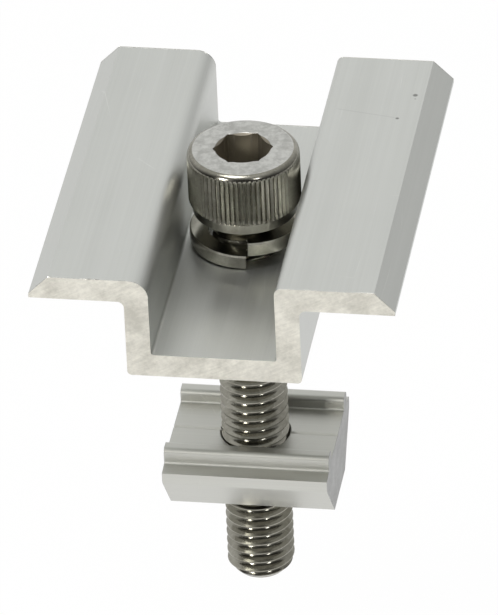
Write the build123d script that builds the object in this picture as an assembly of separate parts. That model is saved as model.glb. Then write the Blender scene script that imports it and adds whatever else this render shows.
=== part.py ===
# Mid clamp for framed solar panels: an extruded hat-section clamp with a hole in its web,
# a socket head cap screw with a split spring washer, and an extruded nut for the mounting rail.
#
# Frame: +Z up along the screw, +X along the rail (from one panel to the next), +Y along the
# clamp's extrusion.  The origin is on the screw's axis in the plane of the nut's shoulders,
# which bear on the underside of the rail's lips.  All sizes are in millimetres.

from build123d import *
import math
import os

# Clamp: hat section, drawn in XZ and extruded along Y.
clamp_length = 50.0           # along Y, saw cut at both ends
clamp_width = 41.8            # across both flanges
channel_inner_width = 14.4    # clears the screw's head and the hex key
wall = 2.8                    # one thickness all round, side walls first
flange_thickness = 2.8
web_thickness = 2.8
channel_depth = 9.8           # flange top to channel floor
flange_bevel_width = 2.3      # bevel along each flange's outer top edge
flange_bevel_drop = 2.3
left_mouth_radius = 2.2       # lips of the channel's mouth, the left one much rounder
right_mouth_radius = 0.9
armpit_radius = 0.8           # under the flange, where it meets the wall
heel_radius = 0.5             # outer lower corners of the channel
floor_radius = 0.35           # inner corners of the channel's floor
hole_clearance = 0.5          # between screw and clamp, all round

# Screw: M8 x 50 socket head cap screw, threaded to the head.
thread_diameter = 8.0
thread_pitch = 1.25
screw_length = 50.0           # under the head
tip_chamfer = 1.1
head_diameter = 13.0
head_height = 8.0
head_edge_radius = 0.9        # bright turned edge above the knurl
head_foot_height = 1.45       # plain band under the knurl
head_foot_taper = 0.4
socket_across_flats = 6.0
socket_depth = 4.2
socket_turn = 9.5             # corners of the hexagon, from +X towards +Y
socket_mouth_diameter = 6.4   # countersunk mouth of the socket
socket_bottom_angle = 120.0   # drill point left by the punch
knurl_count = 72
knurl_depth = 0.2
knurl_groove_angle = 70.0

# Spring washer: one turn of square wire.
washer_bore_clearance = 0.35  # between the screw and the washer's bore
washer_section_width = 2.2
washer_section_height = 1.75
washer_rise = 1.75            # height between the two cut ends, unloaded
washer_split = 0.25           # gap between the cut ends, round the circle
washer_edge = 0.18            # broken edges of the wire
washer_split_side = -82.3     # direction of the split, from +X towards +Y
head_lift = 1.0               # the screw is not tightened: head to the washer's upper end

# Rail nut: section drawn in YZ and extruded along X.
nut_length = 19.4             # along X
nut_width = 18.0              # across both shoulders
rib_outer_width = 14.4        # over both ribs, a loose fit in a 15 mm rail slot
rib_width = 2.0
rib_height = 1.85             # rib top above the shoulders
rib_round = 0.6
rib_foot_radius = 0.3         # where a rib meets the shoulder
saddle_height = 0.3           # face between the ribs above the shoulders
saddle_fillet = 0.25
centre_groove_width = 0.5     # V mark along the middle of the saddle
centre_groove_depth = 0.25
shoulder_fall = 0.3           # the shoulders drop a little towards their outer edge
nut_cheek_height = 1.3        # upright side under the shoulder
nut_bottom_width = 8.4        # just wider than the threaded hole
nut_depth = 7.4               # shoulders to the nut's underside
nut_cheek_radius = 1.2
thread_running_clearance = 0.04
nut_mouth_chamfer = 0.15      # countersink at both mouths of the threaded hole

# Stack-up.
grip_height = 33.9            # nut's shoulders to the underside of the flanges

# Derived places.
thread_radius = thread_diameter / 2
head_radius = head_diameter / 2
flange_under = grip_height
flange_top = flange_under + flange_thickness
floor_top = flange_top - channel_depth
web_under = floor_top - web_thickness
inner_half = channel_inner_width / 2
outer_half = inner_half + wall
washer_base = floor_top
washer_top = washer_base + washer_section_height + washer_rise
head_seat = washer_top + head_lift
head_top = head_seat + head_height
screw_tip = head_seat - screw_length

os.makedirs("parts", exist_ok=True)


def pick(sketch_face, points, reach=0.02):
    """Corners of a face that lie at the given points of its plane."""
    found = []
    for vertex in sketch_face.vertices():
        place = Vector(*tuple(vertex))
        for point in points:
            if (place - Vector(*point)).length < reach:
                found.append(vertex)
    return found


def mirrored(points):
    """A half outline from the middle outwards, closed by its mirror image."""
    return points + [(-across, up) for across, up in reversed(points)]


def section(plane, outline):
    """Face of a closed outline drawn in a plane."""
    with BuildSketch(plane) as drawn:
        with BuildLine():
            Polyline(*outline, close=True)
        make_face()
    return drawn.sketch.faces()[0]


def rounded(face, plane, corners, radius):
    """The face with one radius on the named corners."""
    places = [plane.from_local_coords(Vector(across, up)) for across, up in corners]
    return fillet(pick(face, places), radius).faces()[0]


def both_sides(across, up):
    """A corner and its mirror image."""
    return [(across, up), (-across, up)]


def make_clamp():
    """Hat section with bevelled flanges, extruded, and the screw's hole through its web."""
    plane = Plane.XZ
    half = clamp_width / 2
    outline = mirrored([
        (inner_half, floor_top),
        (inner_half, flange_top),
        (half - flange_bevel_width, flange_top),
        (half, flange_top - flange_bevel_drop),
        (half, flange_under),
        (outer_half, flange_under),
        (outer_half, web_under),
    ])
    face = section(plane, outline)
    face = rounded(face, plane, [(-inner_half, flange_top)], left_mouth_radius)
    face = rounded(face, plane, [(inner_half, flange_top)], right_mouth_radius)
    face = rounded(face, plane, both_sides(outer_half, flange_under), armpit_radius)
    face = rounded(face, plane, both_sides(outer_half, web_under), heel_radius)
    face = rounded(face, plane, both_sides(inner_half, floor_top), floor_radius)
    body = extrude(face, clamp_length / 2, both=True)
    hole = Pos(0, 0, web_under - 1) * Cylinder(
        thread_radius + hole_clearance, web_thickness + 2, align=(Align.CENTER, Align.CENTER, Align.MIN)
    )
    return body - hole


def make_screw():
    """Turned blank with a punched hexagon socket and a straight knurl round the head."""
    foot_radius = head_radius - head_foot_taper
    knurl_low = head_seat + head_foot_height
    half_section = section(Plane.XZ, [
        (0, screw_tip),
        (thread_radius - tip_chamfer, screw_tip),
        (thread_radius, screw_tip + tip_chamfer),
        (thread_radius, head_seat),
        (foot_radius, head_seat),
        (foot_radius, knurl_low - head_foot_taper / 2),
        (head_radius, knurl_low),
        (head_radius, head_top),
        (0, head_top),
    ])
    half_section = fillet(pick(half_section, [(head_radius, 0, head_top)]), head_edge_radius)
    blank = revolve(half_section, Axis.Z)

    across_corners = socket_across_flats / 3 ** 0.5
    hexagon = Plane.XY.offset(head_top - socket_depth) * RegularPolygon(across_corners, 6, rotation=socket_turn)
    socket = extrude(hexagon, socket_depth)
    point_height = across_corners * 0.8660 / math.tan(math.radians(socket_bottom_angle / 2))
    point = Pos(0, 0, head_top - socket_depth) * Cone(
        0.01, socket_across_flats / 2, point_height, align=(Align.CENTER, Align.CENTER, Align.MAX)
    )
    mouth_radius_out = socket_mouth_diameter / 2
    mouth = Pos(0, 0, head_top) * Cone(
        mouth_radius_out - 0.45, mouth_radius_out, 0.45, align=(Align.CENTER, Align.CENTER, Align.MAX)
    )
    blank = blank - socket - point - mouth

    knurl_height = head_top - head_edge_radius * 0.45 - knurl_low
    half_width = knurl_depth * math.tan(math.radians(knurl_groove_angle / 2))
    slant = half_width / knurl_depth
    over = 0.3
    groove_outline = Plane.XY.offset(knurl_low) * Polygon(
        (head_radius - knurl_depth, 0),
        (head_radius + over, half_width + over * slant),
        (head_radius + over, -half_width - over * slant),
        align=None,
    )
    groove = extrude(groove_outline, knurl_height)
    grooves = [Rot(0, 0, 360 * index / knurl_count) * groove for index in range(knurl_count)]
    return blank - grooves


def make_washer():
    """One turn of square wire on a helix; its lower end stands on the clamp's floor."""
    mean_radius = thread_radius + washer_bore_clearance + washer_section_width / 2
    turn = 1 - washer_split / (2 * math.pi * mean_radius)
    path = Helix(washer_rise / turn, washer_rise, mean_radius, lefthand=True)
    with BuildSketch(Plane(path @ 0, x_dir=(1, 0, 0), z_dir=path % 0)) as wire:
        Rectangle(washer_section_width, washer_section_height)
        chamfer(wire.vertices(), washer_edge)
    coil = sweep(wire.sketch, path=path, is_frenet=True)
    coil = Rot(0, 0, washer_split_side) * coil
    return Pos(0, 0, washer_base - coil.bounding_box().min.Z) * coil


def make_nut():
    """Ribbed trapezoid section, extruded, with the threaded hole across it."""
    plane = Plane.YZ
    half = nut_width / 2
    rib_out = rib_outer_width / 2
    rib_in = rib_out - rib_width
    groove_half = centre_groove_width / 2
    cheek_foot = -nut_cheek_height - shoulder_fall
    outline = mirrored([
        (groove_half, saddle_height),
        (rib_in, saddle_height),
        (rib_in, rib_height),
        (rib_out, rib_height),
        (rib_out, 0),
        (half, -shoulder_fall),
        (half, cheek_foot),
        (nut_bottom_width / 2, -nut_depth),
    ])
    outline.append((0, saddle_height - centre_groove_depth))
    face = section(plane, outline)
    rib_tops = both_sides(rib_in, rib_height) + both_sides(rib_out, rib_height)
    face = rounded(face, plane, rib_tops, rib_round)
    face = rounded(face, plane, both_sides(rib_out, 0), rib_foot_radius)
    face = rounded(face, plane, both_sides(rib_in, saddle_height), saddle_fillet)
    face = rounded(face, plane, both_sides(half, cheek_foot), nut_cheek_radius)
    body = extrude(face, nut_length / 2, both=True)
    bore_radius = thread_radius + thread_running_clearance
    span = nut_depth + saddle_height
    body -= Pos(0, 0, -nut_depth - 1) * Cylinder(
        bore_radius, span + 2, align=(Align.CENTER, Align.CENTER, Align.MIN)
    )
    wide = bore_radius + nut_mouth_chamfer
    over = 0.5
    upper = Pos(0, 0, saddle_height + over) * Cone(
        bore_radius, wide + over, nut_mouth_chamfer + over, align=(Align.CENTER, Align.CENTER, Align.MAX)
    )
    lower = Pos(0, 0, -nut_depth - over) * Cone(
        wide + over, bore_radius, nut_mouth_chamfer + over, align=(Align.CENTER, Align.CENTER, Align.MIN)
    )
    return body - upper - lower


pieces = {
    "clamp_bracket": make_clamp(),
    "cap_screw": make_screw(),
    "spring_washer": make_washer(),
    "rail_nut": make_nut(),
}
for name, piece in pieces.items():
    export_step(piece, f"parts/{name}.step")
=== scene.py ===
import math

import bpy
import bmesh
from mathutils import Matrix, Vector


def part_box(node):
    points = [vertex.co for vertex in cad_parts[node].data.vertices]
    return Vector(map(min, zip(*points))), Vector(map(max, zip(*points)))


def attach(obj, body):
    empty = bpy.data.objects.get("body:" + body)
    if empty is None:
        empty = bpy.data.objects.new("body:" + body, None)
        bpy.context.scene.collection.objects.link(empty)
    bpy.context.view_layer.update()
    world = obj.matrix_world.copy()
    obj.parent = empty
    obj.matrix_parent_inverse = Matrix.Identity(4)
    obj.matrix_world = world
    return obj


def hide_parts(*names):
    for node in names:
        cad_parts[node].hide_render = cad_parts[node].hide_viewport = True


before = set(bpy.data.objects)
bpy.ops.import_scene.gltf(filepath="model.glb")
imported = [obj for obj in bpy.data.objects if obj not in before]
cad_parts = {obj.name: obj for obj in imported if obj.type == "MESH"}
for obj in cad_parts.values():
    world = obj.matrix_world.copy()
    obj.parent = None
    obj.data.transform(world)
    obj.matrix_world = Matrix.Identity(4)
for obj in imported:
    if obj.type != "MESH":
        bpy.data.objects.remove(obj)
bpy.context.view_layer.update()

MM = 0.001

# Places of the solids, in millimetres, read from the frame.
CLAMP_HALF_WIDTH, CLAMP_HALF_LENGTH, FLANGE_TOP = (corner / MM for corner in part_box("clamp_bracket")[1])
NUT_HALF_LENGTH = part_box("rail_nut")[1][0] / MM
CHANNEL_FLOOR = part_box("spring_washer")[0][2] / MM
SCREW_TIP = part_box("cap_screw")[0][2] / MM
HEAD_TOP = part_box("cap_screw")[1][2] / MM

# Clamp: half width of the channel, the bevels and the lips of the channel's mouth, in millimetres.
CHANNEL_HALF = 7.2
BEVEL_WIDTH = 2.3
BEVEL_DROP = 2.3
LEFT_LIP_RADIUS = 2.2
RIGHT_LIP_RADIUS = 0.9
BURR_INSET = 0.1              # the burr's line lies this far inside the saw cut

# Screw: head, knurl, hexagon socket and M8 thread, in millimetres and degrees.
HEAD_HEIGHT = 8.0
HEAD_SEAT = HEAD_TOP - HEAD_HEIGHT
HEAD_RADIUS = 6.5
HEAD_EDGE = 0.9               # radius of the turned edge
FOOT_HEIGHT = 1.45            # plain band under the knurl
FOOT_TAPER = 0.4
KNURLS = 72
KNURL_DEPTH = 0.2
KNURL_COLUMNS = 6             # columns of the mesh in each groove
KNURL_STEPS = 10
EDGE_STEPS = 8
SOCKET_FLATS = 6.0
SOCKET_CORNERS = SOCKET_FLATS / math.sqrt(3)
SOCKET_DEPTH = 4.2
SOCKET_POINT = 1.5            # punch's point below the socket's depth
SOCKET_TURN = 9.5
SOCKET_MOUTH_RADIUS = 3.2
THREAD_PITCH = 1.25
THREAD_CREST = 3.96
THREAD_ROOT = 3.24
THREAD_TURNS = (HEAD_SEAT - SCREW_TIP) / THREAD_PITCH
THREAD_STEPS = round(THREAD_TURNS * 40)
TIP_CHAMFER = 1.1
SMOOTH_ANGLE = 38
BURR_SMOOTH_ANGLE = 60

# Marks on the top of the right flange: places and sizes in metres.
SCRATCH_START = (0.0087, 0.0136)
SCRATCH_END = (0.0160, 0.0122)
SCRATCH_WIDTH = 0.00013
SCRATCH_FADE = 0.0004
CHIP_PLACE = (0.0161, 0.0121)
SPOT_PLACE = (0.0175, 0.0173)
SPECK_PLACE = (0.0176, 0.0165)

# Finishes: the darker and the lighter tone of each surface.
CLAMP_TONES = ((0.54, 0.548, 0.522, 1), (0.65, 0.658, 0.635, 1))
CLAMP_CUT_TONES = ((0.56, 0.545, 0.49, 1), (0.82, 0.80, 0.73, 1))
CLAMP_ROUGHNESS = 0.44
NUT_TONES = ((0.53, 0.53, 0.495, 1), (0.66, 0.66, 0.62, 1))
NUT_CUT_TONES = ((0.36, 0.36, 0.355, 1), (0.46, 0.46, 0.455, 1))
NUT_ROUGHNESS = 0.42
SCREW_TONES = ((0.22, 0.21, 0.175, 1), (0.36, 0.35, 0.305, 1))
HEAD_FACE_TONES = ((0.44, 0.44, 0.42, 1), (0.64, 0.64, 0.615, 1))
SCREW_ROUGHNESS = 0.17
WASHER_TONES = ((0.28, 0.27, 0.23, 1), (0.45, 0.44, 0.385, 1))
WASHER_ROUGHNESS = 0.19
BURR_TONES = ((0.84, 0.83, 0.78, 1), (0.95, 0.94, 0.90, 1))
BURR_ROUGHNESS = 0.25
SOCKET_TONE = (0.32, 0.29, 0.235, 1)
ALUMINIUM_RUB = (0.88, 0.88, 0.86, 1)
STEEL_RUB = (0.75, 0.74, 0.70, 1)
SCRATCH_TONE = (0.25, 0.25, 0.24, 1)
SPOT_TONE = (0.12, 0.12, 0.11, 1)

# Studio: floor, lamps and camera.  The camera's place and turn come from a fit to the photograph.
FLOOR_DROP = 24.0             # floor below the screw's tip, in millimetres, clear of its lowest pose
FLOOR_HALF = 6.0              # metres
AIM = (0, 0, 0.02)
CAMERA_PLACE = (0.15297, -0.85959, 0.58693)
CAMERA_AZIMUTH = 10.099
CAMERA_ELEVATION = 33.112
CAMERA_ROLL = -2.612
FOCAL_PIXELS = 9000.0
PHOTO_HEIGHT_PIXELS = 615
SENSOR_HEIGHT = 24.0          # millimetres


class Tree:
    """Shorthand for placing nodes and joining their sockets."""

    def __init__(self, tree):
        self.tree = tree

    def node(self, kind, **settings):
        """A new node with its settings."""
        made = self.tree.nodes.new(kind)
        for name, value in settings.items():
            setattr(made, name, value)
        return made

    def join(self, start, end):
        self.tree.links.new(start, end)

    def feed(self, socket, value):
        """Joins a socket to another, or gives it a plain value."""
        if isinstance(value, bpy.types.NodeSocket):
            self.join(value, socket)
        else:
            socket.default_value = value

    def math(self, operation, *values, clamp=False):
        made = self.node("ShaderNodeMath", operation=operation, use_clamp=clamp)
        for socket, value in zip(made.inputs, values):
            self.feed(socket, value)
        return made.outputs[0]

    def length(self, x, y):
        """Distance from the origin of a plane."""
        return self.math("SQRT", self.math("ADD", self.math("MULTIPLY", x, x), self.math("MULTIPLY", y, y)))

    def range(self, value, low, high, to_low=0.0, to_high=1.0, smooth=True):
        """Carries a value from one range over to another."""
        made = self.node("ShaderNodeMapRange", interpolation_type="SMOOTHSTEP" if smooth else "LINEAR")
        self.feed(made.inputs["Value"], value)
        made.inputs["From Min"].default_value = low
        made.inputs["From Max"].default_value = high
        made.inputs["To Min"].default_value = to_low
        made.inputs["To Max"].default_value = to_high
        return made.outputs["Result"]

    def mix(self, factor, first, second):
        """A colour between two others."""
        made = self.node("ShaderNodeMix", data_type="RGBA")
        self.feed(made.inputs[0], factor)
        self.feed(made.inputs[6], first)
        self.feed(made.inputs[7], second)
        return made.outputs[2]

    def place(self, where, scale, shift=(0, 0, 0)):
        """Coordinates stretched and shifted."""
        made = self.node("ShaderNodeMapping")
        self.join(where, made.inputs["Vector"])
        made.inputs["Scale"].default_value = scale
        made.inputs["Location"].default_value = shift
        return made.outputs["Vector"]

    def noise(self, where, scale, detail=4.0, rough=0.55):
        made = self.node("ShaderNodeTexNoise")
        self.join(where, made.inputs["Vector"])
        made.inputs["Scale"].default_value = scale
        made.inputs["Detail"].default_value = detail
        made.inputs["Roughness"].default_value = rough
        return made.outputs["Fac"]


def parts_of(t, vector):
    """The X, Y and Z of a vector."""
    made = t.node("ShaderNodeSeparateXYZ")
    t.join(vector, made.inputs[0])
    return made.outputs


def vector_of(t, x, y, z):
    """A vector from its X, Y and Z."""
    made = t.node("ShaderNodeCombineXYZ")
    for socket, value in zip(made.inputs, (x, y, z)):
        t.join(value, socket)
    return made.outputs[0]


def shader_group(name, inputs, outputs):
    """An empty node group with named sockets, and shorthand for filling it."""
    group = bpy.data.node_groups.new(name, "ShaderNodeTree")
    for label, kind, value in inputs:
        socket = group.interface.new_socket(label, in_out="INPUT", socket_type=kind)
        if value is not None:
            socket.default_value = value
    for label, kind in outputs:
        group.interface.new_socket(label, in_out="OUTPUT", socket_type=kind)
    tree = Tree(group)
    return group, tree, tree.node("NodeGroupInput").outputs, tree.node("NodeGroupOutput").inputs


def drawn_lines_group():
    """Fine lines and soft bands that the die leaves along an extrusion."""
    group, t, given, out = shader_group(
        "drawn_lines",
        [
            ("Along X", "NodeSocketVector", None),
            ("Fine", "NodeSocketFloat", 0.5),
            ("Bands", "NodeSocketFloat", 0.5),
        ],
        [("Tone", "NodeSocketFloat"), ("Height", "NodeSocketFloat")],
    )
    where = given["Along X"]
    fine = t.noise(t.place(where, (14, 2600, 2600)), 1.0, 5.0, 0.7)
    hair = t.noise(t.place(where, (30, 9000, 9000), (3, 1, 5)), 1.0, 2.0, 0.6)
    bands = t.noise(t.place(where, (9, 260, 260), (7, 2, 9)), 1.0, 3.0, 0.5)
    cloud = t.noise(where, 90.0, 4.0, 0.6)
    lines = t.math("ADD", t.math("MULTIPLY", fine, 0.6), t.math("MULTIPLY", hair, 0.4))
    lines = t.math("MULTIPLY", t.math("SUBTRACT", lines, 0.5), given["Fine"])
    cloud = t.math("MULTIPLY", t.math("SUBTRACT", cloud, 0.5), 0.35)
    bands = t.math("ADD", t.math("SUBTRACT", bands, 0.5), cloud)
    tone = t.math("ADD", lines, t.math("MULTIPLY", bands, given["Bands"]))
    t.join(t.math("ADD", tone, 0.5), out["Tone"])
    t.join(t.math("ADD", lines, 0.5), out["Height"])
    return group


def saw_cut_group():
    """Cut end of an extrusion: pale torn metal with short saw marks."""
    group, t, given, out = shader_group(
        "saw_cut",
        [
            ("Vector", "NodeSocketVector", None),
            ("Axis Distance", "NodeSocketFloat", 0.0),
            ("End", "NodeSocketFloat", 0.025),
        ],
        [("Mask", "NodeSocketFloat"), ("Tone", "NodeSocketFloat"), ("Height", "NodeSocketFloat")],
    )
    reach = t.math("SUBTRACT", t.math("ABSOLUTE", given["Axis Distance"]), given["End"])
    t.join(t.range(reach, -0.00006, -0.00001), out["Mask"])
    where = given["Vector"]
    sloped = t.node("ShaderNodeVectorRotate", rotation_type="EULER_XYZ")
    t.join(where, sloped.inputs["Vector"])
    sloped.inputs["Rotation"].default_value = (math.radians(25), math.radians(25), 0)
    marks = t.noise(t.place(sloped.outputs[0], (450, 450, 3200)), 1.0, 4.0, 0.6)
    torn = t.noise(where, 2400.0, 4.0, 0.65)
    patch = t.noise(where, 420.0, 3.0, 0.6)
    fine = t.math("ADD", t.math("MULTIPLY", marks, 0.55), t.math("MULTIPLY", torn, 0.45))
    t.join(t.math("ADD", t.math("MULTIPLY", fine, 0.5), t.math("MULTIPLY", patch, 0.5)), out["Tone"])
    t.join(fine, out["Height"])
    return group


def handling_group():
    """Faint rubs and short scratches from handling."""
    group, t, given, out = shader_group(
        "handling_marks",
        [("Vector", "NodeSocketVector", None), ("Amount", "NodeSocketFloat", 0.5)],
        [("Mask", "NodeSocketFloat")],
    )
    where = given["Vector"]
    cells = t.node("ShaderNodeTexVoronoi", feature="DISTANCE_TO_EDGE")
    t.join(t.place(where, (260, 70, 260), (2, 3, 1)), cells.inputs["Vector"])
    cells.inputs["Scale"].default_value = 1.0
    line = t.range(cells.outputs["Distance"], 0.0, 0.012, 1.0, 0.0)
    where_marked = t.range(t.noise(where, 120.0, 3.0), 0.55, 0.7)
    t.join(t.math("MULTIPLY", t.math("MULTIPLY", line, where_marked), given["Amount"]), out["Mask"])
    return group


def add_group(t, group, **values):
    """A group's node with its inputs fed, by their names with underscores."""
    made = t.node("ShaderNodeGroup", node_tree=group)
    for label, value in values.items():
        t.feed(made.inputs[label.replace("_", " ")], value)
    return made.outputs


def new_material(name):
    """A material with its tree, its shader and the object's own coordinates."""
    material = bpy.data.materials.new(name)
    material.use_nodes = True
    t = Tree(material.node_tree)
    shader = material.node_tree.nodes["Principled BSDF"]
    where = t.node("ShaderNodeTexCoord").outputs["Object"]
    return material, t, shader, where


def bump(t, shader, height, strength, distance):
    """Relief from a height value."""
    made = t.node("ShaderNodeBump")
    made.inputs["Strength"].default_value = strength
    made.inputs["Distance"].default_value = distance
    t.join(height, made.inputs["Height"])
    t.join(made.outputs["Normal"], shader.inputs["Normal"])


def ring_mark(t, parts, centre, radius, soft):
    """Round mark at a place on the top of a flange."""
    across = t.math("SUBTRACT", parts["X"], centre[0])
    along = t.math("SUBTRACT", parts["Y"], centre[1])
    return t.range(t.length(across, along), radius, radius + soft, 1.0, 0.0)


def line_mark(t, parts, start, end, width):
    """Thin scratch between two places on the top of a flange."""
    dx = end[0] - start[0]
    dy = end[1] - start[1]
    length = math.hypot(dx, dy)
    across = t.math("SUBTRACT", parts["X"], start[0])
    along = t.math("SUBTRACT", parts["Y"], start[1])
    run = t.math("ADD", t.math("MULTIPLY", across, dx / length), t.math("MULTIPLY", along, dy / length))
    off = t.math("MULTIPLY", along, dx / length)
    off = t.math("SUBTRACT", t.math("MULTIPLY", across, dy / length), off)
    near = t.range(t.math("ABSOLUTE", off), width * 0.4, width, 1.0, 0.0)
    begun = t.range(run, 0.0, SCRATCH_FADE)
    inside = t.math("MULTIPLY", begun, t.range(run, length - SCRATCH_FADE, length, 1.0, 0.0))
    return t.math("MULTIPLY", near, inside)


def flange_marks(t, parts, colour):
    """The scratch with its chip, the spot and the speck on the right flange."""
    on_top = t.range(parts["Z"], (FLANGE_TOP - 0.05) * MM, (FLANGE_TOP - 0.02) * MM)
    scratch = line_mark(t, parts, SCRATCH_START, SCRATCH_END, SCRATCH_WIDTH)
    chip = ring_mark(t, parts, CHIP_PLACE, 0.00012, 0.00015)
    spot = ring_mark(t, parts, SPOT_PLACE, 0.00018, 0.0002)
    speck = ring_mark(t, parts, SPECK_PLACE, 0.00006, 0.0001)
    dark = t.math("MAXIMUM", t.math("MAXIMUM", chip, spot), t.math("MULTIPLY", speck, 0.6))
    scratch = t.math("MULTIPLY", t.math("MULTIPLY", scratch, on_top), 0.14)
    dark = t.math("MULTIPLY", t.math("MULTIPLY", dark, on_top), 0.7)
    return t.mix(dark, t.mix(scratch, colour, SCRATCH_TONE), SPOT_TONE)


def aluminium(name, groups, long_axis, end, tones, cut_tones, roughness, marked=False):
    """Mill finish extrusion with drawn lines, handling marks and saw-cut ends."""
    lines, saw, marks = groups
    material, t, shader, where = new_material(name)
    parts = parts_of(t, where)
    along = vector_of(t, parts["Y"], parts["X"], parts["Z"]) if long_axis == "Y" else where
    drawn = add_group(t, lines, Along_X=along, Fine=1.2, Bands=0.9)
    cut = add_group(t, saw, Vector=where, Axis_Distance=parts[long_axis], End=end)
    rubbed = add_group(t, marks, Vector=where, Amount=0.55)
    colour = t.mix(drawn["Tone"], *tones)
    colour = t.mix(t.math("MULTIPLY", rubbed["Mask"], 0.5), colour, ALUMINIUM_RUB)
    if marked:
        colour = flange_marks(t, parts, colour)
    cut_colour = t.mix(t.range(cut["Tone"], 0.38, 0.62, smooth=False), *cut_tones)
    t.join(t.mix(cut["Mask"], colour, cut_colour), shader.inputs["Base Color"])
    rough = t.math("MULTIPLY", t.math("SUBTRACT", drawn["Tone"], 0.5), 0.2)
    rough = t.math("ADD", roughness, rough)
    rough = t.math("ADD", rough, t.math("MULTIPLY", cut["Mask"], 0.15))
    t.join(rough, shader.inputs["Roughness"])
    t.join(t.math("SUBTRACT", 1.0, t.math("MULTIPLY", cut["Mask"], 0.25)), shader.inputs["Metallic"])
    plain = t.math("MULTIPLY", drawn["Height"], t.math("SUBTRACT", 1.0, cut["Mask"]))
    height = t.math("ADD", plain, t.math("MULTIPLY", cut["Height"], cut["Mask"]))
    bump(t, shader, height, 0.35, 0.00003)
    return material


def head_face(t, where, colour, height):
    """Blotched, finely turned top of the head, and the darker socket in it."""
    parts = parts_of(t, where)
    far = t.length(parts["X"], parts["Y"])
    rings = t.math("SINE", t.math("MULTIPLY", far, 42000.0))
    face = t.range(parts["Z"], (HEAD_TOP - 0.06) * MM, (HEAD_TOP - 0.02) * MM)
    blotch = t.range(t.noise(where, 900.0, 5.0, 0.7), 0.35, 0.65)
    colour = t.mix(t.math("MULTIPLY", face, 0.85), colour, t.mix(blotch, *HEAD_FACE_TONES))
    within = t.range(far, (SOCKET_CORNERS - 0.04) * MM, (SOCKET_CORNERS + 0.04) * MM, 1.0, 0.0)
    socket_bottom = HEAD_TOP - SOCKET_DEPTH
    above = t.range(parts["Z"], (socket_bottom - 0.2) * MM, (socket_bottom - 0.1) * MM)
    socket = t.math("MULTIPLY", t.math("MULTIPLY", within, above), t.math("SUBTRACT", 1.0, face))
    colour = t.mix(socket, colour, SOCKET_TONE)
    roughness = t.math("ADD", t.math("MULTIPLY", face, 0.14), t.math("MULTIPLY", socket, 0.3))
    height = t.math("ADD", height, t.math("MULTIPLY", t.math("MULTIPLY", rings, face), 0.25))
    return colour, roughness, height


def stainless(name, marks, tones, roughness, head=False):
    """Bright stainless steel with fine marks and a little variation in its polish."""
    material, t, shader, where = new_material(name)
    cloud = t.noise(where, 320.0, 4.0, 0.6)
    grain = t.noise(where, 2600.0, 3.0, 0.6)
    rubbed = add_group(t, marks, Vector=t.place(where, (3, 8, 3)), Amount=0.7)
    tone = t.math("ADD", t.math("MULTIPLY", cloud, 0.7), t.math("MULTIPLY", grain, 0.3))
    colour = t.mix(t.range(tone, 0.35, 0.65, smooth=False), *tones)
    height = t.math("MULTIPLY", grain, 0.5)
    rough = t.math("MULTIPLY", t.math("SUBTRACT", cloud, 0.5), 0.18)
    rough = t.math("ADD", roughness, rough)
    if head:
        colour, more, height = head_face(t, where, colour, height)
        rough = t.math("ADD", rough, more)
    t.join(t.mix(rubbed["Mask"], colour, STEEL_RUB), shader.inputs["Base Color"])
    shader.inputs["Metallic"].default_value = 1.0
    t.join(rough, shader.inputs["Roughness"])
    bump(t, shader, height, 0.35, 0.00003)
    return material


def hexagon_radius(angle):
    """Distance from the axis to the socket's wall in a direction."""
    turn = math.radians(60)
    part = (angle - math.radians(SOCKET_TURN)) % turn - turn / 2
    return SOCKET_FLATS / 2 / math.cos(part)


def screw_rings():
    """Rings of the turned blank from the tip up to the top of the head, as radius and height."""
    foot = HEAD_RADIUS - FOOT_TAPER
    low = HEAD_SEAT + FOOT_HEIGHT
    core = THREAD_ROOT - 0.02
    tip = THREAD_CREST - TIP_CHAMFER + 0.05
    inner = HEAD_RADIUS - HEAD_EDGE
    knurl_low = low + 0.06
    knurl_high = HEAD_TOP - HEAD_EDGE
    rings = [
        (tip, SCREW_TIP),
        (core, SCREW_TIP + 0.4),
        (core, HEAD_SEAT - 0.02),
        (THREAD_CREST + 0.02, HEAD_SEAT - 0.02),
        (foot - 0.2, HEAD_SEAT),
        (foot - 0.05, HEAD_SEAT + 0.05),
        (foot, HEAD_SEAT + 0.2),
        (foot, low - 0.28),
        (foot + 0.05, low - 0.2),
        (HEAD_RADIUS - 0.1, low - 0.04),
        (HEAD_RADIUS, knurl_low),
    ]
    for index in range(1, KNURL_STEPS + 1):
        rings.append((HEAD_RADIUS, knurl_low + (knurl_high - knurl_low) * index / KNURL_STEPS))
    for index in range(1, EDGE_STEPS + 1):
        turn = math.radians(90 * index / EDGE_STEPS)
        rings.append((inner + HEAD_EDGE * math.cos(turn), knurl_high + HEAD_EDGE * math.sin(turn)))
    rings.append((inner - 0.25, HEAD_TOP))
    return rings


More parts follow.
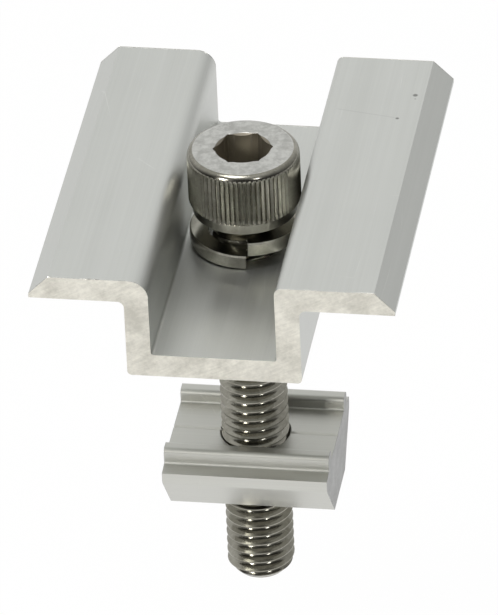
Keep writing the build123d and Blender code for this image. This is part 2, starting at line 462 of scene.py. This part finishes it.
def screw_blank():
    """The screw without its thread: core, head and hexagon socket in one closed mesh."""
    columns = KNURLS * KNURL_COLUMNS
    mesh = bmesh.new()
    rows = []

    def add_row(place):
        row = []
        for index in range(columns):
            angle = 2 * math.pi * index / columns
            radius, height = place(angle)
            x, y = radius * math.cos(angle), radius * math.sin(angle)
            row.append(mesh.verts.new((x * MM, y * MM, height * MM)))
        rows.append(row)

    for radius, height in screw_rings():
        add_row(lambda angle, radius=radius, height=height: (radius, height))
    top = HEAD_TOP
    mouth = SOCKET_MOUTH_RADIUS
    add_row(lambda angle: (max(mouth, hexagon_radius(angle)) + 0.06, top))
    add_row(lambda angle: (max(mouth, hexagon_radius(angle)), top - 0.05))
    add_row(lambda angle: (
        hexagon_radius(angle), top - 0.07 - 1.1 * max(0.0, mouth - hexagon_radius(angle))
    ))
    add_row(lambda angle: (hexagon_radius(angle), top - SOCKET_DEPTH))
    add_row(lambda angle: (0.3, top - SOCKET_DEPTH - SOCKET_POINT))
    for lower, upper in zip(rows, rows[1:]):
        for index in range(columns):
            after = (index + 1) % columns
            mesh.faces.new((lower[index], lower[after], upper[after], upper[index]))
    mesh.faces.new(list(reversed(rows[0])))
    mesh.faces.new(rows[-1])
    bmesh.ops.recalc_face_normals(mesh, faces=mesh.faces)
    data = bpy.data.meshes.new("screw_blank")
    mesh.to_mesh(data)
    mesh.free()
    return data


def geometry_group(name, inputs):
    """An empty Geometry Nodes tree with its inputs, and shorthand for filling it."""
    group = bpy.data.node_groups.new(name, "GeometryNodeTree")
    group.interface.new_socket("Geometry", in_out="INPUT", socket_type="NodeSocketGeometry")
    for label, kind, value in inputs:
        group.interface.new_socket(label, in_out="INPUT", socket_type=kind).default_value = value
    group.interface.new_socket("Geometry", in_out="OUTPUT", socket_type="NodeSocketGeometry")
    tree = Tree(group)
    return group, tree, tree.node("NodeGroupInput").outputs, tree.node("NodeGroupOutput").inputs


def finish_geometry(t, geometry, material, out):
    """Realize Instances and Set Material close every tree."""
    real = t.node("GeometryNodeRealizeInstances")
    t.join(geometry, real.inputs[0])
    dress = t.node("GeometryNodeSetMaterial")
    t.join(real.outputs[0], dress.inputs["Geometry"])
    dress.inputs["Material"].default_value = material
    t.join(dress.outputs[0], out["Geometry"])


def knurl_group(material):
    """Presses straight V grooves into the side of the head."""
    group, t, given, out = geometry_group("straight_knurl", [
        ("Count", "NodeSocketInt", KNURLS),
        ("Depth", "NodeSocketFloat", KNURL_DEPTH * MM),
        ("Low", "NodeSocketFloat", 0.0),
        ("High", "NodeSocketFloat", 0.0),
        ("Inner Radius", "NodeSocketFloat", 0.0),
    ])
    x, y, z = parts_of(t, t.node("GeometryNodeInputPosition").outputs[0])
    far = t.length(x, y)
    angle = t.math("ADD", t.math("DIVIDE", t.math("ARCTAN2", y, x), 2 * math.pi), 1.0)
    tooth = t.math("FRACT", t.math("ADD", t.math("MULTIPLY", angle, given["Count"]), 0.0005))
    groove = t.math("SUBTRACT", t.math("MULTIPLY", tooth, 2.0), 1.0)
    groove = t.math("SUBTRACT", 1.0, t.math("ABSOLUTE", groove))
    groove = t.math("POWER", groove, 0.8)
    inside = t.math("GREATER_THAN", z, given["Low"])
    inside = t.math("MULTIPLY", inside, t.math("LESS_THAN", z, given["High"]))
    outer = t.math("GREATER_THAN", far, given["Inner Radius"])
    inside = t.math("MULTIPLY", inside, outer)
    press = t.math("MULTIPLY", t.math("MULTIPLY", groove, inside), given["Depth"])
    scale = t.math("DIVIDE", t.math("SUBTRACT", far, press), t.math("MAXIMUM", far, 1e-6))
    place = vector_of(t, t.math("MULTIPLY", x, scale), t.math("MULTIPLY", y, scale), z)
    move = t.node("GeometryNodeSetPosition")
    t.join(given["Geometry"], move.inputs["Geometry"])
    t.join(place, move.inputs["Position"])
    finish_geometry(t, move.outputs[0], material, out)
    return group


def thread_group(material):
    """Right-hand thread: one strip wound up the screw, its edges meeting from turn to turn."""
    group, t, given, out = geometry_group("screw_thread", [
        ("Pitch", "NodeSocketFloat", THREAD_PITCH * MM),
        ("Turns", "NodeSocketFloat", THREAD_TURNS),
        ("Steps", "NodeSocketInt", THREAD_STEPS),
        ("Root", "NodeSocketFloat", THREAD_ROOT * MM),
        ("Crest", "NodeSocketFloat", THREAD_CREST * MM),
        ("Bottom", "NodeSocketFloat", SCREW_TIP * MM),
        ("Tip Chamfer", "NodeSocketFloat", TIP_CHAMFER * MM),
    ])
    strip = t.node("GeometryNodeMeshGrid")
    strip.inputs["Size X"].default_value = 1.0
    strip.inputs["Size Y"].default_value = 1.0
    t.join(given["Steps"], strip.inputs["Vertices X"])
    strip.inputs["Vertices Y"].default_value = 10
    along, side, _ = parts_of(t, t.node("GeometryNodeInputPosition").outputs[0])
    run = t.math("ADD", along, 0.5)
    flank = t.range(t.math("ABSOLUTE", side), 0.0625, 0.4375, 1.0, 0.0, smooth=False)
    depth = t.math("SUBTRACT", given["Crest"], given["Root"])
    radius = t.math("ADD", given["Root"], t.math("MULTIPLY", depth, flank))
    turned = t.math("MULTIPLY", run, given["Turns"])
    height = t.math("MULTIPLY", t.math("ADD", t.math("SUBTRACT", turned, 0.5), side), given["Pitch"])
    height = t.math("ADD", t.math("MAXIMUM", height, 0.00002), given["Bottom"])
    cone = t.math("SUBTRACT", given["Crest"], given["Tip Chamfer"])
    cone = t.math("ADD", cone, t.math("SUBTRACT", height, given["Bottom"]))
    radius = t.math("MINIMUM", radius, cone)
    angle = t.math("MULTIPLY", turned, 2 * math.pi)
    x = t.math("MULTIPLY", t.math("COSINE", angle), radius)
    y = t.math("MULTIPLY", t.math("SINE", angle), radius)
    move = t.node("GeometryNodeSetPosition")
    t.join(strip.outputs["Mesh"], move.inputs["Geometry"])
    t.join(vector_of(t, x, y, height), move.inputs["Position"])
    weld = t.node("GeometryNodeMergeByDistance")
    t.join(move.outputs[0], weld.inputs["Geometry"])
    weld.inputs["Distance"].default_value = 0.000002
    finish_geometry(t, weld.outputs[0], material, out)
    return group


def run_tree(name, start, group, **values):
    """Runs a tree on a mesh and returns the plain mesh that comes out."""
    holder = bpy.data.objects.new(name + "_holder", start)
    bpy.context.scene.collection.objects.link(holder)
    modifier = holder.modifiers.new("tree", "NODES")
    modifier.node_group = group
    known = {item.name: item.identifier for item in group.interface.items_tree if item.in_out == "INPUT"}
    for label, value in values.items():
        modifier[known[label.replace("_", " ")]] = value
    depsgraph = bpy.context.evaluated_depsgraph_get()
    made = bpy.data.meshes.new_from_object(holder.evaluated_get(depsgraph))
    holder.modifiers.clear()
    bpy.data.objects.remove(holder)
    made.name = name
    return made


def add_piece(name, data, body, sharp):
    """A shaded piece on its body."""
    data.polygons.foreach_set("use_smooth", [True] * len(data.polygons))
    data.set_sharp_from_angle(angle=math.radians(sharp))
    piece = bpy.data.objects.new(name, data)
    bpy.context.scene.collection.objects.link(piece)
    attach(piece, body)
    return piece


def join_meshes(name, meshes):
    """One mesh from several, each keeping its own material."""
    whole = bmesh.new()
    materials = []
    for data in meshes:
        start = len(whole.faces)
        whole.from_mesh(data)
        whole.faces.ensure_lookup_table()
        metal = next(item for item in data.materials if item)
        if metal not in materials:
            materials.append(metal)
        for face in whole.faces[start:]:
            face.material_index = materials.index(metal)
    joined = bpy.data.meshes.new(name)
    whole.to_mesh(joined)
    whole.free()
    for material in materials:
        joined.materials.append(material)
    return joined


def burr_group(material):
    """Thin torn edge: a wire along the given line whose thickness comes and goes."""
    group, t, given, out = geometry_group("saw_burr", [
        ("Step", "NodeSocketFloat", 0.00018),
        ("Thickness", "NodeSocketFloat", 0.00011),
        ("Gap", "NodeSocketFloat", 0.5),
        ("Seed", "NodeSocketFloat", 0.0),
    ])
    curve = t.node("GeometryNodeMeshToCurve")
    t.join(given["Geometry"], curve.inputs[0])
    even = t.node("GeometryNodeResampleCurve", mode="LENGTH")
    t.join(curve.outputs[0], even.inputs["Curve"])
    t.join(given["Step"], even.inputs["Length"])
    noise = t.node("ShaderNodeTexNoise", noise_dimensions="4D")
    t.join(t.node("GeometryNodeInputPosition").outputs[0], noise.inputs["Vector"])
    t.join(given["Seed"], noise.inputs["W"])
    noise.inputs["Scale"].default_value = 420.0
    noise.inputs["Detail"].default_value = 3.0
    noise.inputs["Roughness"].default_value = 0.7
    part = t.math("DIVIDE", t.math("SUBTRACT", noise.outputs["Fac"], given["Gap"]), 0.25, clamp=True)
    size = t.math("ADD", t.math("MULTIPLY", part, given["Thickness"]), 0.000012)
    thick = t.node("GeometryNodeSetCurveRadius")
    t.join(even.outputs[0], thick.inputs["Curve"])
    t.join(size, thick.inputs["Radius"])
    circle = t.node("GeometryNodeCurvePrimitiveCircle", mode="RADIUS")
    circle.inputs["Resolution"].default_value = 5
    circle.inputs["Radius"].default_value = 1.0
    sweep = t.node("GeometryNodeCurveToMesh")
    t.join(thick.outputs[0], sweep.inputs["Curve"])
    t.join(circle.outputs[0], sweep.inputs["Profile Curve"])
    sweep.inputs["Fill Caps"].default_value = True
    t.join(size, sweep.inputs["Scale"])
    finish_geometry(t, sweep.outputs[0], material, out)
    return group


def line_mesh(name, lines):
    """Loose edges through lists of places, in millimetres."""
    mesh = bmesh.new()
    for line in lines:
        corners = [mesh.verts.new((x * MM, y * MM, z * MM)) for x, y, z in line]
        for start, end in zip(corners, corners[1:]):
            mesh.edges.new((start, end))
    data = bpy.data.meshes.new(name)
    mesh.to_mesh(data)
    mesh.free()
    return data


def arc(centre_x, centre_z, radius, start, end, y, steps=8):
    """Places along an arc in a plane across the clamp."""
    places = []
    for index in range(steps + 1):
        turn = math.radians(start + (end - start) * index / steps)
        places.append((centre_x + radius * math.cos(turn), y, centre_z + radius * math.sin(turn)))
    return places


def burr_lines(y):
    """Upper edges of one saw-cut end of the clamp."""
    half = CLAMP_HALF_WIDTH
    sides = []
    for side, radius in ((1, RIGHT_LIP_RADIUS), (-1, LEFT_LIP_RADIUS)):
        lip = CHANNEL_HALF + radius
        bevel = half - BEVEL_WIDTH
        line = [(half, y, FLANGE_TOP - BEVEL_DROP), (bevel, y, FLANGE_TOP), (lip, y, FLANGE_TOP)]
        line += arc(lip, FLANGE_TOP - radius, radius, 90, 180, y)[1:]
        sides.append([(side * x, along, z) for x, along, z in line])
    floor = [(0.4 - CHANNEL_HALF, y, CHANNEL_FLOOR), (CHANNEL_HALF - 0.4, y, CHANNEL_FLOOR)]
    return sides + [floor]


def dress(node, material):
    """Gives a piece of the frame its finish."""
    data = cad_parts[node].data
    for index in range(len(data.materials)):
        data.materials[index] = material


handling = handling_group()
groups = drawn_lines_group(), saw_cut_group(), handling

clamp_metal = aluminium(
    "clamp_mill_finish", groups, "Y", CLAMP_HALF_LENGTH * MM,
    CLAMP_TONES, CLAMP_CUT_TONES, CLAMP_ROUGHNESS, marked=True,
)
nut_metal = aluminium(
    "nut_mill_finish", groups, "X", NUT_HALF_LENGTH * MM,
    NUT_TONES, NUT_CUT_TONES, NUT_ROUGHNESS,
)
burr_metal = stainless("burr_bright_edge", handling, BURR_TONES, BURR_ROUGHNESS)
screw_metal = stainless("screw_bright_steel", handling, SCREW_TONES, SCREW_ROUGHNESS, head=True)
washer_metal = stainless("washer_bright_steel", handling, WASHER_TONES, WASHER_ROUGHNESS)

dress("clamp_bracket", clamp_metal)
dress("rail_nut", nut_metal)
dress("spring_washer", washer_metal)

knurled = run_tree(
    "screw_head", screw_blank(), knurl_group(screw_metal),
    Low=(HEAD_SEAT + FOOT_HEIGHT + 0.03) * MM,
    High=(HEAD_TOP - HEAD_EDGE * 0.85) * MM,
    Inner_Radius=(HEAD_RADIUS - HEAD_EDGE) * MM,
)
threaded = run_tree(
    "screw_thread", bpy.data.meshes.new("empty_strip"), thread_group(screw_metal),
    Turns=THREAD_TURNS - 0.5,
)
screw_data = join_meshes("cap_screw_detailed", [knurled, threaded])
screw = add_piece("cap_screw_detailed", screw_data, "screw", SMOOTH_ANGLE)
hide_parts("cap_screw")

burr_tree = burr_group(burr_metal)
front_burr = run_tree(
    "saw_burr_front", line_mesh("front_lines", burr_lines(BURR_INSET - CLAMP_HALF_LENGTH)), burr_tree,
    Thickness=0.00012, Gap=0.52, Seed=3.1,
)
back_burr = run_tree(
    "saw_burr_back", line_mesh("back_lines", burr_lines(CLAMP_HALF_LENGTH - BURR_INSET)), burr_tree,
    Thickness=0.00007, Gap=0.55, Seed=7.4,
)
add_piece("saw_burr_front", front_burr, "clamp", BURR_SMOOTH_ANGLE)
add_piece("saw_burr_back", back_burr, "clamp", BURR_SMOOTH_ANGLE)


def studio_floor():
    """White floor that keeps the shadow and looks evenly bright to the camera."""
    mesh = bmesh.new()
    bmesh.ops.create_grid(mesh, x_segments=1, y_segments=1, size=FLOOR_HALF)
    data = bpy.data.meshes.new("studio_floor")
    mesh.to_mesh(data)
    mesh.free()
    floor = bpy.data.objects.new("studio_floor", data)
    floor.location.z = (SCREW_TIP - FLOOR_DROP) * MM
    bpy.context.scene.collection.objects.link(floor)
    material = bpy.data.materials.new("white_floor")
    material.use_nodes = True
    t = Tree(material.node_tree)
    shader = material.node_tree.nodes["Principled BSDF"]
    shader.inputs["Base Color"].default_value = (0.86, 0.86, 0.85, 1)
    shader.inputs["Roughness"].default_value = 0.8
    glow = t.node("ShaderNodeEmission")
    glow.inputs["Color"].default_value = (1, 1, 1, 1)
    glow.inputs["Strength"].default_value = 1.0
    path = t.node("ShaderNodeLightPath").outputs
    seen = t.math("MAXIMUM", path["Is Camera Ray"], path["Is Glossy Ray"])
    seen = t.math("MAXIMUM", seen, path["Is Transmission Ray"])
    blend = t.node("ShaderNodeMixShader")
    t.join(t.math("MULTIPLY", seen, 0.97), blend.inputs[0])
    t.join(shader.outputs[0], blend.inputs[1])
    t.join(glow.outputs[0], blend.inputs[2])
    out = material.node_tree.nodes["Material Output"]
    t.join(blend.outputs[0], out.inputs["Surface"])
    data.materials.append(material)


def soft_box(name, place, width, height, power, colour=(1, 1, 1)):
    """A lamp with a rectangular face, turned to the clamp."""
    lamp = bpy.data.lights.new(name, "AREA")
    lamp.shape = "RECTANGLE"
    lamp.size = width
    lamp.size_y = height
    lamp.energy = power
    lamp.color = colour
    holder = bpy.data.objects.new(name, lamp)
    holder.location = place
    holder.rotation_euler = (Vector(place) - Vector(AIM)).to_track_quat("Z", "Y").to_euler()
    bpy.context.scene.collection.objects.link(holder)


def studio_world():
    """Light from all round, brighter from behind and above and weaker from the right."""
    world = bpy.data.worlds.new("studio")
    world.use_nodes = True
    bpy.context.scene.world = world
    t = Tree(world.node_tree)
    back = world.node_tree.nodes["Background"]
    x, y, z = parts_of(t, t.node("ShaderNodeTexCoord").outputs["Generated"])
    rise = t.math("ADD", t.math("MULTIPLY", y, 0.6), t.math("MULTIPLY", z, 0.8))
    level = t.math("MULTIPLY", t.range(rise, -0.1, 0.7), t.range(x, 0.2, 0.9, 1.0, 0.5))
    t.join(t.mix(level, (0.05, 0.05, 0.047, 1), (0.80, 0.805, 0.80, 1)), back.inputs["Color"])
    back.inputs["Strength"].default_value = 1.1


def photo_camera():
    """Camera at the photograph's place, from the fit to the screw, clamp and nut."""
    azimuth = math.radians(CAMERA_AZIMUTH)
    elevation = math.radians(CAMERA_ELEVATION)
    roll = math.radians(CAMERA_ROLL)
    level = Vector((math.cos(azimuth), math.sin(azimuth), 0))
    outward = Vector((math.sin(azimuth), -math.cos(azimuth), 0))
    back = math.cos(elevation) * outward + math.sin(elevation) * Vector((0, 0, 1))
    up = back.cross(level)
    right = math.cos(roll) * level + math.sin(roll) * up
    upright = -math.sin(roll) * level + math.cos(roll) * up
    data = bpy.data.cameras.new("photo_camera")
    data.sensor_fit = "VERTICAL"
    data.sensor_height = SENSOR_HEIGHT
    data.lens = FOCAL_PIXELS * SENSOR_HEIGHT / PHOTO_HEIGHT_PIXELS
    data.clip_end = 20.0
    camera = bpy.data.objects.new("photo_camera", data)
    turn = Matrix((right, upright, back)).transposed().to_4x4()
    camera.matrix_world = Matrix.Translation(Vector(CAMERA_PLACE)) @ turn
    bpy.context.scene.collection.objects.link(camera)
    bpy.context.scene.camera = camera


studio_floor()
studio_world()
soft_box("top_box", (-0.15, -0.15, 0.80), 0.35, 0.35, 2.2)
soft_box("front_box", (-0.50, -0.75, 0.40), 0.14, 0.28, 4.6, (1.0, 0.985, 0.95))
soft_box("right_box", (0.45, -0.60, 0.55), 0.07, 0.18, 0.8)
photo_camera()
bpy.context.scene.view_settings.view_transform = "Standard"
